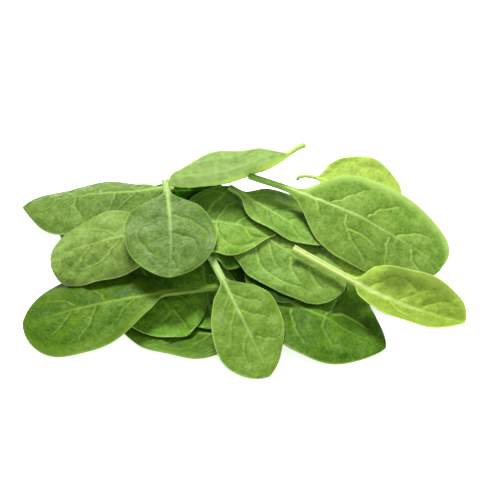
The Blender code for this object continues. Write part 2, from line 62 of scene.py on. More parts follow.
# The leaves that show, and the ones between and behind them, in the order in which they lie on each other.
leaves = {
    "floorLeft": {"x": -26, "y": 4, "z": 6, "heading": 192, "pitch": -2, "width": 40, "bend": 6},
    "floorRight": {"x": 22, "y": 10, "z": 6, "heading": -2, "pitch": -2, "width": 38, "bend": 6},
    "floorBackLeft": {
        "x": -16, "y": 30, "z": 7, "heading": 105, "pitch": -6, "length": 32, "width": 34, "bend": 6},
    "floorBackRight": {
        "x": 20, "y": 32, "z": 7, "heading": 70, "pitch": -6, "length": 32, "width": 32, "bend": 6},
    "farLeftLow": {"x": -46, "y": 29, "z": 11, "heading": 163, "pitch": -6, "length": 36, "width": 30, "bend": 6},
    "farRightLow": {"x": 50, "y": 26, "z": 11, "heading": 15, "pitch": -8, "length": 38, "width": 34, "bend": 6},
    "rightLow": {"x": 42, "y": 7, "z": 12, "heading": -12, "pitch": -4, "length": 42, "width": 34, "bend": 6},
    "backLeft": {"x": -32, "y": 26, "z": 18, "heading": 135, "pitch": -12, "length": 46, "width": 36, "bend": 12},
    "backRight": {"x": 34, "y": 26, "z": 18, "heading": 55, "pitch": -18, "length": 42, "width": 36, "bend": 10},
    "backMiddle": {"x": 0, "y": 28, "z": 18, "heading": 92, "pitch": -24, "length": 38, "width": 36},
    "leftInside": {"x": -40, "y": 13, "z": 17, "heading": 184, "pitch": -8, "length": 36, "width": 32},
    "middleInside": {
        "x": -8, "y": 16, "z": 19, "heading": -90, "pitch": -16, "length": 26, "width": 32, "bend": 6},
    "rightUnder": {
        "x": 9.5, "y": 22, "z": 23, "heading": -32, "pitch": -10, "length": 58, "width": 38, "bend": 6,
        "step": 0.8},
    "backSlopeLeft": {
        "x": -20, "y": 26, "z": 26.5, "heading": 114, "pitch": -34, "length": 42, "width": 34, "bend": 2},
    "backSlopeMiddle": {
        "x": 0, "y": 30, "z": 25.5, "heading": 90, "pitch": -36, "length": 34, "width": 36, "bend": 2},
    "backLeftHigh": {
        "x": -7, "y": 29, "z": 33, "heading": 168, "pitch": -12, "length": 35, "bend": 0,
        "left": (14, 0.5, 0.6, 0.6), "right": (9, 0.5, 0.6, 0.6), "step": 0.8},
    "backRightHigh": {
        "x": 14, "y": 27, "z": 28.5, "heading": 68, "pitch": -35, "length": 38, "width": 34, "bend": 0},
    "frontLowest": {
        "x": 2, "y": -32.5, "z": 4, "heading": 178, "length": 51, "stalk": 6, "bend": 2,
        "left": (13.2, 0.42, 0.4, 0.85), "right": (14, 0.45, 0.5, 0.7), "step": 0.7, "paintedLightLeft": 0.5},
    "frontGap": {
        "x": -17, "y": 3.5, "z": 13, "heading": -80, "pitch": -10, "length": 36, "width": 28, "stalk": 5,
        "bend": 12, "step": 0.8},
    "frontRound": {
        "x": -48.9, "y": 8.8, "z": 16, "heading": -58, "pitch": -8, "length": 53, "stalk": 3, "bend": 14,
        "left": (20.5, 0.55, 0.5, 0.6), "right": (19, 0.5, 0.5, 0.66), "step": 0.55,
        "veinPoints": [
            [(0.7, 0.05), (0.75, -0.2), (0.78, -0.45)], [(0.7, 0.05), (0.82, 0.12), (0.95, 0.15)],
            [(0.45, 0), (0.6, 0.3), (0.78, 0.5)], [(0.4, 0), (0.5, -0.35), (0.65, -0.6)]]},
    "frontRightWide": {
        "x": 11, "y": -17, "z": 14, "heading": -24, "pitch": -8, "length": 56, "stalk": 6,
        "left": (22.5, 0.55, 0.6, 0.8), "right": (22.3, 0.45, 0.57, 0.7), "cupLeft": -5, "cupRight": -8,
        "step": 0.55, "dents": [(0.7, 0.28, 8, 2.2), (0.5, 0, 4, -0.8), (0.32, -0.3, 5, 0.8)],
        "veinPoints": [
            [(0.52, 0.5), (0.49, 0.2), (0.48, -0.1), (0.54, -0.35), (0.66, -0.57)],
            [(0.22, -0.1), (0.27, -0.35), (0.33, -0.55), (0.47, -0.78)],
            [(0.5, 0.15), (0.65, 0.45), (0.85, 0.4)], [(0.3, 0.1), (0.4, 0.45), (0.52, 0.7)]]},
    "middleGapLow": {
        "x": 3.5, "y": -1, "z": 19, "heading": -45, "pitch": -14, "length": 30, "width": 22, "stalk": 2,
        "bend": 6, "step": 0.8},
    "leftLong": {
        "x": -31.5, "y": -20, "z": 16, "heading": 187, "pitch": -3, "length": 62, "stalk": 26, "bend": 15,
        "neck": 7, "roll": -8, "left": (22, 0.62, 0.95, 0.42), "right": (22, 0.62, 0.5, 0.75), "cupLeft": -8,
        "cupRight": -10, "step": 0.5, "paintedLightLeft": 0.5, "shadeRight": 0.25,
        "veinPoints": [
            [(0.41, -0.05), (0.44, -0.3), (0.52, -0.6)], [(0.48, 0), (0.52, 0.3), (0.57, 0.53), (0.66, 0.75)],
            [(0.2, 0), (0.3, 0.35), (0.38, 0.6)], [(0.65, 0), (0.74, 0.35), (0.84, 0.5)],
            [(0.6, -0.05), (0.72, -0.4), (0.85, -0.55)]]},
    "frontPointing": {
        "x": -7, "y": -18, "z": 21, "heading": -64, "pitch": -18, "length": 47.5, "stalk": 20, "neck": 7,
        "left": (17.3, 0.38, 0.6, 0.85), "right": (16, 0.62, 0.8, 0.45), "step": 0.5,
        "veinPoints": [
            [(0.6, 0.08), (0.67, 0.53), (0.72, 0.75)], [(0.32, 0.02), (0.42, 0.4), (0.5, 0.68)],
            [(0.14, 0), (0.25, 0.4), (0.3, 0.65)], [(0.25, 0), (0.42, -0.4), (0.6, -0.6)],
            [(0.5, 0.05), (0.66, -0.35), (0.82, -0.45)], [(0.1, 0), (0.22, -0.4), (0.36, -0.7)]]},
    "middleGapHigh": {
        "x": -19, "y": 10.5, "z": 27, "heading": -38, "pitch": -14, "length": 27, "width": 24, "stalk": 2,
        "bend": 6, "step": 0.8},
    "middleBroad": {
        "x": -6.5, "y": 17.5, "z": 30, "heading": -35, "pitch": -10, "length": 63, "stalk": 3, "roll": 10,
        "left": (13.8, 0.7, 0.8, 0.55), "right": (20, 0.55, 0.5, 0.45), "foldLeft": -6, "foldRight": -6,
        "cupLeft": -10, "cupRight": -10, "step": 0.5,
        "veinPoints": [
            [(0.3, -0.2), (0.38, -0.55), (0.52, -0.7), (0.71, -0.76), (0.83, -0.57)],
            [(0.55, 0), (0.64, -0.35), (0.76, -0.55)], [(0.7, 0), (0.8, -0.25), (0.9, -0.35)],
            [(0.5, 0), (0.6, 0.4), (0.75, 0.55)], [(0.35, 0), (0.45, -0.25), (0.55, -0.45)]]},
    "middleNarrow": {
        "x": -26.5, "y": 13, "z": 32, "heading": -10, "pitch": -6, "length": 43, "stalk": 3, "bend": 6,
        "roll": 6, "left": (19, 0.4, 0.5, 0.9), "right": (18, 0.35, 0.5, 1.15), "step": 0.5, "shadeLeft": 0.55},
    "rightOfTop": {
        "x": 0.5, "y": 22.5, "z": 35.5, "heading": -28, "pitch": -14, "length": 42, "stalk": 6, "bend": 6,
        "neck": 7, "left": (18, 0.45, 0.9, 0.6), "right": (9, 0.38, 0.5, 0.6), "step": 0.5, "veins": 3,
        "lumps": 0.7},
    "backBright": {
        "x": 34, "y": 39, "z": 31, "heading": -2, "pitch": -14, "length": 39, "stalk": 10, "roll": 6,
        "left": (17.5, 0.5, 0.78, 0.43), "right": (17.5, 0.5, 0.8, 0.45), "foldLeft": 4, "foldRight": 4,
        "cupLeft": 8, "cupRight": 8, "stalkBend": 85, "stalkHalf": 0.9, "neck": 5, "step": 0.55, "veins": 3,
        "lumps": 0.6},
    "rightLarge": {
        "x": 20.5, "y": 23, "z": 38, "heading": -6, "turn": -24, "pitch": -18, "length": 75, "stalk": 17.6,
        "neck": 22, "bend": 6, "roll": 8, "left": (24.3, 0.42, 1.5, 0.33), "right": (22, 0.45, 0.6, 0.45),
        "foldLeft": 0, "foldRight": -8, "cupLeft": -3, "cupRight": -8, "step": 0.5, "paintedLightLeft": 0.9,
        "veinPoints": [
            [(0.16, 0.02), (0.19, -0.2), (0.23, -0.45)],
            [(0.36, 0), (0.39, -0.35), (0.46, -0.55), (0.61, -0.85)], [(0.64, 0), (0.68, -0.5), (0.72, -0.72)],
            [(0.25, 0.03), (0.38, 0.45), (0.44, 0.73)], [(0.48, 0.02), (0.56, 0.53), (0.64, 0.7)],
            [(0.68, 0), (0.76, 0.35), (0.86, 0.55)], [(0.78, 0), (0.84, -0.35), (0.9, -0.5)],
            [(0.39, -0.35), (0.52, -0.3), (0.6, -0.42)]]},
    "rightFrontPale": {
        "x": 48.5, "y": -16.5, "z": 19, "heading": -27, "turn": 28, "pitch": -15, "length": 50, "stalk": 30,
        "neck": 4, "bend": 0, "roll": 15, "left": (15.9, 0.5, 0.4, 0.36), "right": (12.4, 0.42, 0.9, 0.8),
        "foldLeft": 10, "foldRight": 12, "cupLeft": 20, "cupRight": 14, "step": 0.45,
        "dents": [(0.36, 0.5, 6, 1.0)], "paintedLightLeft": 0.6, "shadeRight": 0.22, "ribWide": 1.5,
        "veinPoints": [
            [(0.14, 0.1), (0.18, 0.4), (0.33, 0.75), (0.49, 0.55), (0.56, 0.3)],
            [(0.4, 0.05), (0.55, 0.5), (0.72, 0.7)], [(0.6, 0.05), (0.75, 0.45), (0.86, 0.5)],
            [(0.3, -0.05), (0.5, -0.5), (0.66, -0.6)]]},
    "leftFarLong": {
        "x": -32.5, "y": 33, "z": 28, "heading": 170, "pitch": -5, "length": 68, "bend": 21, "neck": 14,
        "left": (20.5, 0.6, 0.5, 1.0), "right": (13.3, 0.45, 0.7, 0.42), "foldLeft": -8, "foldRight": -8,
        "cupLeft": -12, "cupRight": -10, "step": 0.5,
        "veinPoints": [
            [(0.34, 0), (0.33, 0.25), (0.36, 0.5)], [(0.61, 0), (0.6, 0.4), (0.52, 0.62)],
            [(0.43, 0), (0.46, -0.4), (0.53, -0.8)], [(0.61, 0), (0.68, -0.4), (0.78, -0.7)],
            [(0.2, 0), (0.24, 0.35), (0.34, 0.62)], [(0.15, 0), (0.24, -0.4), (0.32, -0.7)],
            [(0.74, 0), (0.8, 0.3), (0.86, 0.35)]]},
    "leftNear": {
        "x": -33, "y": 2.5, "z": 30, "heading": 181, "pitch": 2, "length": 51.5, "stalk": 3, "bend": 38,
        "roll": -13, "left": (18, 0.55, 0.33, 0.2), "right": (21.5, 0.52, 0.5, 0.5), "foldLeft": -6,
        "foldRight": -6, "cupLeft": -14, "cupRight": -14, "quilt": 0.7, "step": 0.5,
        "dents": [(0.6, 0.05, 6, 0.8)],
        "veinPoints": [
            [(0.35, 0.02), (0.46, 0.38), (0.56, 0.55), (0.72, 0.62), (0.84, 0.5), (0.88, 0.2)],
            [(0.36, 0), (0.5, -0.35), (0.64, -0.5), (0.8, -0.5)], [(0.62, 0), (0.7, 0.25), (0.74, 0.45)],
            [(0.12, 0), (0.24, 0.4), (0.34, 0.7)], [(0.1, 0), (0.2, -0.35), (0.3, -0.6)]]},
    "topRound": {
        "x": -31, "y": 17.5, "z": 39, "heading": -82, "turn": -12, "pitch": -12, "length": 41, "stalk": 8,
        "neck": 7, "bend": 14, "left": (19.8, 0.48, 0.65, 0.78), "right": (20.2, 0.42, 0.4, 0.55),
        "cupLeft": -5, "cupRight": -5, "step": 0.45, "lumps": 0.4, "ribWide": 1.1,
        "veinPoints": [
            [(0.28, -0.02), (0.31, -0.45), (0.43, -0.76), (0.6, -0.7), (0.74, -0.42)],
            [(0.5, 0.03), (0.52, 0.3), (0.57, 0.55), (0.68, 0.62), (0.8, 0.5)],
            [(0.26, 0.03), (0.32, 0.5), (0.45, 0.8), (0.62, 0.84), (0.76, 0.7)],
            [(0.52, -0.03), (0.55, -0.25), (0.6, -0.35)], [(0.78, -0.05), (0.88, -0.25)],
            [(0.8, 0.05), (0.9, 0.25)]]},
    "topFolded": {
        "x": 21, "y": 36, "z": 47, "heading": 212, "turn": -34, "pitch": -17, "length": 55, "stalk": 8,
        "bend": -19, "roll": 55, "neck": 4, "stalkBend": 30, "left": (15.3, 0.55, 0.7, 0.5),
        "right": (18.6, 0.5, 0.8, 0.5), "foldLeft": 40, "foldRight": 45, "cupLeft": 0, "cupRight": 0,
        "quilt": 0.2, "step": 0.5, "underVein": 0.12, "ribWide": 2.5},
}

# Colours of each leaf that shows. The leaves without a look of their own share the first one.
# dark, light: the darker and the lighter green of the blade. under, stalk, rib: the under side, the stalk and the
# midrib's line. through: share of the light that comes through the leaf. gloss: how much the surface shines.
# crease, vein: how strongly the painted shade in the creases and the side veins show.
usualLook = {
    "under": (0.16, 0.28, 0.07), "stalk": (0.24, 0.38, 0.07), "through": 0.16, "gloss": 0.08, "creaseShade": 0.6,
    "vein": 0.75,
}
looks = {
    "inner": {"dark": (0.03, 0.1, 0.004), "light": (0.08, 0.18, 0.01), "gloss": 0.04},
    # rightUnder is far paler than the other leaves, to make up for the shade it lies in: painted light.
    "rightUnder": {"dark": (0.4, 0.7, 0.06), "light": (0.7, 0.95, 0.16)},
    # backLeftHigh is nearly black: painted shade for where it lies under the leaves above it.
    "backLeftHigh": {"dark": (0.004, 0.03, 0.0), "light": (0.012, 0.065, 0.0), "gloss": 0.0},
    "frontLowest": {"dark": (0.036, 0.105, 0.001), "light": (0.085, 0.18, 0.002), "gloss": 0.05},
    "frontGap": {"dark": (0.06, 0.18, 0.008), "light": (0.2, 0.4, 0.04)},
    "frontRound": {"dark": (0.055, 0.17, 0.006), "light": (0.19, 0.39, 0.03), "vein": 0.9},
    "frontRightWide": {"dark": (0.036, 0.1, 0.003), "light": (0.11, 0.225, 0.018), "gloss": 0.05, "vein": 0.95},
    # middleGapLow is nearly black: painted shade for the dark gap where it shows.
    "middleGapLow": {"dark": (0.01, 0.04, 0.001), "light": (0.03, 0.09, 0.004), "gloss": 0.02},
    "leftLong": {
        "dark": (0.035, 0.105, 0.001), "light": (0.105, 0.2, 0.006), "stalk": (0.1, 0.2, 0.012), "gloss": 0.08,
        "vein": 0.55, "creaseShade": 0.65},
    "frontPointing": {
        "dark": (0.1, 0.205, 0.015), "light": (0.185, 0.3, 0.045), "rib": (0.36, 0.5, 0.14), "creaseShade": 0.55,
        "vein": 0.5, "gloss": 0.07, "stalk": (0.4, 0.55, 0.2)},
    "middleGapHigh": {"dark": (0.03, 0.11, 0.005), "light": (0.11, 0.24, 0.02)},
    "middleBroad": {"dark": (0.1, 0.22, 0.022), "light": (0.21, 0.34, 0.055)},
    "middleNarrow": {"dark": (0.11, 0.25, 0.02), "light": (0.24, 0.39, 0.062), "gloss": 0.06},
    "rightOfTop": {
        "dark": (0.11, 0.24, 0.027), "light": (0.22, 0.37, 0.06), "stalk": (0.12, 0.28, 0.03), "vein": 0.4},
    # backBright's pale yellow green is partly its own and partly painted light from behind.
    "backBright": {
        "dark": (0.4, 0.58, 0.08), "light": (0.52, 0.69, 0.13), "through": 0.4, "stalk": (0.4, 0.5, 0.16),
        "creaseShade": 0.12, "vein": 0.5},
    "rightLarge": {
        "dark": (0.095, 0.21, 0.016), "light": (0.22, 0.345, 0.06), "stalk": (0.08, 0.21, 0.012),
        "rib": (0.48, 0.64, 0.2), "vein": 0.85},
    "rightFrontPale": {
        "dark": (0.26, 0.41, 0.04), "light": (0.37, 0.51, 0.07), "through": 0.3, "stalk": (0.56, 0.68, 0.24),
        "rib": (0.58, 0.7, 0.24), "creaseShade": 0.2, "vein": 0.55},
    "leftFarLong": {"dark": (0.07, 0.15, 0.015), "light": (0.18, 0.28, 0.055), "creaseShade": 0.75, "vein": 0.45},
    "leftNear": {"dark": (0.108, 0.205, 0.026), "light": (0.24, 0.345, 0.078), "vein": 0.45, "creaseShade": 0.65},
    "topRound": {
        "dark": (0.062, 0.15, 0.013), "light": (0.155, 0.25, 0.044), "gloss": 0.13, "stalk": (0.36, 0.51, 0.18),
        "rib": (0.34, 0.48, 0.13), "vein": 0.35, "creaseShade": 0.65},
    # topFolded's pale under side is partly the under side's own colour and partly painted light.
    "topFolded": {
        "dark": (0.3, 0.5, 0.1), "light": (0.4, 0.6, 0.15), "under": (0.46, 0.68, 0.2), "through": 0.12,
        "rib": (0.66, 0.95, 0.14), "creaseShade": 0.2},
}

# Relief of every leaf, in mm: half the blade's thickness and how far in from the margin it is rounded, a vein's half
# width and depth, its crease's place, half width and depth, how far from a vein the blade is fully swollen, how far
# in from the margin relief fades out, and the reach and size of the lumps with how many there are.
relief = {
    "skin": 0.24, "skinRound": 0.3, "veinHalf": 0.42, "veinDepth": 0.14,
    "creaseAt": 0.75, "creaseHalf": 0.5, "creaseDepth": 0.08, "swellReach": 2.6, "marginFade": 3,
    "lumps": ((0.9, 0.07, 6), (1.8, 0.02, 10)),
}

# The leaf's surface: how many patches of each kind go side by side in a metre, and strength and depth of the bumps
# that they make, the depth in metres.
grainSizes = {"broad": 110, "fine": 330, "net": 330, "grain": 1000, "bump": 0.5, "bumpDepth": 0.0005}


def ramp(x, low, high):
    # A smooth step from 0 at low to 1 at high: 3u^2 - 2u^3.
    u = np.clip((x - low) / (high - low), 0, 1)
    return u * u * (3 - 2 * u)


def halfWidth(leaf, along, side):
    # From midrib to margin. A quarter sine opens the blade to its widest place, a flattened ellipse closes it, and
    # the stalk's own half width blends in before the base.
    flare = 4.0
    share = np.clip(np.logaddexp(0, along / flare) / np.logaddexp(0, leaf["length"] / flare), 1e-6, 1)
    half, peak, taper, tipRound = leaf[side]
    opening = np.sin(np.pi / 2 * np.clip(share / peak, 0, 1)) ** taper
    closing = np.clip(1 - np.clip((share - peak) / (1 - peak), 0, 1) ** 2.1, 0, None) ** tipRound
    blade = opening * closing * half * ramp(along, -leaf["neck"] / 2, leaf["neck"])
    stalk = leaf["stalkHalf"] * np.sqrt(np.clip(1 - share, 0, 1))
    return (blade ** 3 + stalk ** 3) ** (1 / 3)


def widths(leaf, along, across):
    # The half width on each point's own side.
    return np.where(across[None, :] >= 0, *(halfWidth(leaf, along, side)[:, None] for side in ("left", "right")))


def directions(heading, pitch):
    return np.stack([np.cos(pitch) * np.cos(heading), np.cos(pitch) * np.sin(heading), np.sin(pitch)], 1)


def midrib(leaf, along):
    # Points of the midrib with its side and up directions: small steps whose heading and slope change evenly along
    # the blade. Down the stalk the slope changes ever faster.
    fine = np.linspace(-leaf["stalk"], leaf["length"], 241)
    share = np.clip(fine / leaf["length"], 0, 1)
    down = np.clip(-fine / leaf["stalk"], 0, 1) ** 3
    heading = (leaf["heading"] + leaf["turn"] * share) * degree
    pitch = (leaf["pitch"] - leaf["bend"] * share + leaf["stalkBend"] * down) * degree
    step = directions(heading, pitch)
    line = np.concatenate([np.zeros((1, 3)), np.cumsum((step[1:] + step[:-1]) / 2 * np.diff(fine)[:, None], 0)])
    line = line - [np.interp(0, fine, line[:, k]) for k in range(3)]
    points = np.stack([np.interp(along, fine, line[:, k]) for k in range(3)], 1)
    heading = np.interp(along, fine, heading)
    forward = directions(heading, np.interp(along, fine, pitch))
    level = np.stack([-np.sin(heading), np.cos(heading), 0 * heading], 1)
    above = np.cross(forward, level)
    roll = leaf["roll"] * degree
    return points, level * np.cos(roll) + above * np.sin(roll), above * np.cos(roll) - level * np.sin(roll)


def middleSurface(leaf, along, across):
    # The surface half way through the leaf; across runs from -1 at the right margin to 1 at the left one. Each side
    # is an arc of a circle that starts at the fold's slope, with a wave that grows towards the margin.
    points, side, up = midrib(leaf, along)
    share = (along / leaf["length"])[:, None]
    blade = ramp(share, -0.05, 0.25)
    left = (across >= 0)[None, :]
    out = np.abs(across)[None, :]
    width = widths(leaf, along, across)
    arc = 2 * np.where(left, leaf["cupLeft"], leaf["cupRight"]) * degree * blade
    arc = np.where(np.abs(arc) < 1e-3, 1e-3, arc)
    fold = np.where(left, leaf["foldLeft"], leaf["foldRight"]) * degree * blade
    flat = width * np.sin(arc * out) / arc
    rise = width * (1 - np.cos(arc * out)) / arc
    x = (flat * np.cos(fold) - rise * np.sin(fold)) * np.sign(across)[None, :]
    z = flat * np.sin(fold) + rise * np.cos(fold)
    phase = leaf["phase"] + np.where(left, 0, 2.1)
    wave = leaf["wave"] * out ** 3 * np.sin(2 * np.pi * leaf["waves"] * share + phase)
    z = z + wave * ramp(share, 0, 0.3) * ramp(width, 0, 8)
    return points[:, None] + side[:, None] * x[..., None] + up[:, None] * z[..., None]


# Height of the heap so far, on a grid of 1 mm cells, and the places on a leaf where it is measured against that.
gridStart = np.array([-125.0, -95.0])
height = np.zeros((251, 191))
clearance = 0.5
laidAlong = np.linspace(0, 1, 49)
laidAcross = np.linspace(-1, 1, 17)


def alongOf(leaf, share):
    return -leaf["stalk"] + share * (leaf["stalk"] + leaf["length"])


def heightAt(x, y):
    # Blended between the four nearest grid points.
    u = np.clip(x - gridStart[0], 0, height.shape[0] - 1.001)
    v = np.clip(y - gridStart[1], 0, height.shape[1] - 1.001)
    i, j = u.astype(int), v.astype(int)
    f, g = u - i, v - j
    low = height[i, j] * (1 - f) + height[i + 1, j] * f
    high = height[i, j + 1] * (1 - f) + height[i + 1, j + 1] * f
    return low * (1 - g) + high * g


def neighbours(a):
    p = np.pad(a, 1, mode="edge")
    return [p[1:-1, 1:-1], p[:-2, 1:-1], p[2:, 1:-1], p[1:-1, :-2], p[1:-1, 2:]]


def spread(a, rounds):
    # Carries each high value to its neighbours, then smooths, so that a leaf bends over what pushes it.
    for _ in range(rounds):
        a = np.max(neighbours(a), 0)
    for _ in range(rounds + 1):
        near = neighbours(a)
        a = (sum(near) + near[0]) / 6
    return a


def curveWeights(share, count):
    # Weights of a smooth curve through count even samples, at each share of its length.
    g = np.clip(share, 0, 1) * (count - 1)
    i = np.clip(np.floor(g).astype(int), 0, count - 2)
    f = g - i
    parts = [(1 - f) ** 3, 3 * f ** 3 - 6 * f ** 2 + 4, -3 * f ** 3 + 3 * f ** 2 + 3 * f + 1, f ** 3]
    weights = np.zeros((len(g), count))
    for k, part in enumerate(parts):
        np.add.at(weights, (np.arange(len(g)), np.clip(i - 1 + k, 0, count - 1)), part / 6)
    return weights


def pushOf(leaf):
    # How far each part of a leaf is lifted so that its under side clears the heap so far. The rib hangs under the
    # blade by a share of its own half width.
    along = alongOf(leaf, laidAlong)
    points = middleSurface(leaf, along, laidAcross) + leaf["base"]
    rib = leaf["stalkHalf"] * (1 - 0.8 * np.clip(along / leaf["length"], 0, 1))[:, None]
    fromRib = laidAcross[None, :] * widths(leaf, along, laidAcross)
    under = 0.3 + 0.75 * rib * np.exp(-(fromRib / (0.9 * rib)) ** 2)
    need = heightAt(points[..., 0], points[..., 1]) + under + clearance - points[..., 2]
    return spread(np.clip(need, 0, None), 2)


def laidSurface(leaf, along, across):
    share = (along + leaf["stalk"]) / (leaf["stalk"] + leaf["length"])
    points = middleSurface(leaf, along, across) + leaf["base"]
    lift = curveWeights(share, len(laidAlong)) @ leaf["push"]
    points[..., 2] += lift @ curveWeights((across + 1) / 2, len(laidAcross)).T
    return points


def cellsOf(points):
    i = np.round(points[..., 0] - gridStart[0]).astype(int)
    j = np.round(points[..., 1] - gridStart[1]).astype(int)
    return np.clip(i, 0, height.shape[0] - 1), np.clip(j, 0, height.shape[1] - 1)


def ownVeins(leaf):
    # The leaf's own veinPoints, smoothed: shares of the length and of the half width, and strengths at both ends.
    lines = []
    for points in leaf["veinPoints"]:
        share, out = np.array(points, float).T
        at = np.linspace(0, len(share) - 1, 4 * len(share))
        weights = curveWeights(at / (len(share) - 1), len(share))
        lines.append((weights @ share, weights @ out, 0.95, 0.35))
    return lines


def drawnVeins(leaf):
    # Side veins at uneven places on each side, and the loops between their ends.
    lines = []
    for sign in (-1, 1):
        last = None
        for start in np.linspace(0.06, 0.62, leaf["veins"]) + leaf["random"].uniform(-0.06, 0.06, leaf["veins"]):
            end, reach = start + leaf["random"].uniform(0.1, 0.24), leaf["random"].uniform(0.6, 0.82)
            u = np.linspace(0, 1, 7)
            lines.append((start + (end - start) * u ** 1.5, sign * reach * u, 0.8, 0.3))
            if last:
                bulge = last[1] + (reach - last[1]) * u + 0.1 * np.sin(np.pi * u)
                lines.append((last[0] + (end - last[0]) * u, sign * np.clip(bulge, 0, 0.93), 0.3, 0.3))
            last = (end, reach)
    return lines


def veinLines(leaf):
    # Each vein as points (mm along, mm out from the midrib) with its strength at both ends.
    made = []
    for share, out, first, last in ownVeins(leaf) if "veinPoints" in leaf else drawnVeins(leaf):
        along = share * leaf["length"]
        half = np.where(out >= 0, halfWidth(leaf, along, "left"), halfWidth(leaf, along, "right"))
        made.append((np.stack([along, out * half], 1), first, last))
    return made


def veinDistances(leaf, along, across, width):
    # How far each point is from the nearest side vein, in mm, how strong the vein is there, and on which side of it
    # the point lies.
    x = along[:, None] + 0 * width
    y = across[None, :] * width
    x = x + 0.35 * np.sin(0.9 * y + leaf["phase"]) + 0.2 * np.sin(2.1 * y)
    nearest = np.full(x.shape, 99.0)
    strength = np.zeros_like(x)
    side = np.zeros_like(x)
    for points, first, last in veinLines(leaf):
        count = len(points) - 1
        for number, (a, b) in enumerate(zip(points[:-1], points[1:])):
            reach = b - a
            u = np.clip(((x - a[0]) * reach[0] + (y - a[1]) * reach[1]) / max(reach @ reach, 1e-6), 0, 1)
            away = np.hypot(x - a[0] - u * reach[0], y - a[1] - u * reach[1])
            closer = away < nearest
            nearest = np.where(closer, away, nearest)
            strength = np.where(closer, first + (last - first) * (number + u) / count, strength)
            side = np.where(closer, np.sign(reach[0] * (y - a[1]) - reach[1] * (x - a[0])), side)
    return nearest, strength, side


def ringsAlong(leaf):
    # Places of the rings of points, with a few close ones to round the tip.
    stalk, length, step = leaf["stalk"], leaf["length"], leaf["step"]
    return np.concatenate([
        np.linspace(-stalk, 0, max(3, int(stalk / step))),
        np.linspace(0, length * 0.97, int(length * 0.97 / step) + 1)[1:],
        length * np.array([0.978, 0.985, 0.991, 0.9955, 0.999])])


def columnsAcross(leaf):
    # Even columns, with a few close ones at each margin to round it.
    count = int((leaf["left"][0] + leaf["right"][0]) / leaf["step"]) | 1
    inner = np.linspace(-0.985, 0.985, count)
    return np.concatenate([[-1, -0.9985, -0.993], inner, [0.993, 0.9985, 1]])


def addMesh(name, points, faces, attributes, home):
    mesh = bpy.data.meshes.new(name)
    mesh.from_pydata(((points - [heapMiddle[0], heapMiddle[1], 0]) * 0.001).tolist(), [], faces)
    for key, values in attributes.items():
        layer = mesh.attributes.new(key, "FLOAT", "POINT")
        layer.data.foreach_set("value", np.ascontiguousarray(values, np.float32))
    mesh.polygons.foreach_set("use_smooth", np.ones(len(mesh.polygons), bool))
    mesh.update()
    made = bpy.data.objects.new(name, mesh)
    home.objects.link(made)
    return made


def ringFaces(rows, around):
    # Quads between neighbouring rings, and a fan on each end round one point.
    index = np.arange(rows * around).reshape(rows, around)
    after = np.roll(index, -1, axis=1)
    quads = np.stack([index[:-1], index[1:], after[1:], after[:-1]], -1).reshape(-1, 4).tolist()
    first, last = rows * around, rows * around + 1
    start = [(first, a, b) for a, b in zip(index[0].tolist(), after[0].tolist())]
    end = [(last, b, a) for a, b in zip(index[-1].tolist(), after[-1].tolist())]
    return quads + start + end


def wrapped(top, bottom):
    # One ring per row: over the upper side from right to left, and back under the lower side.
    return np.concatenate([top, bottom[:, -2:0:-1]], 1)


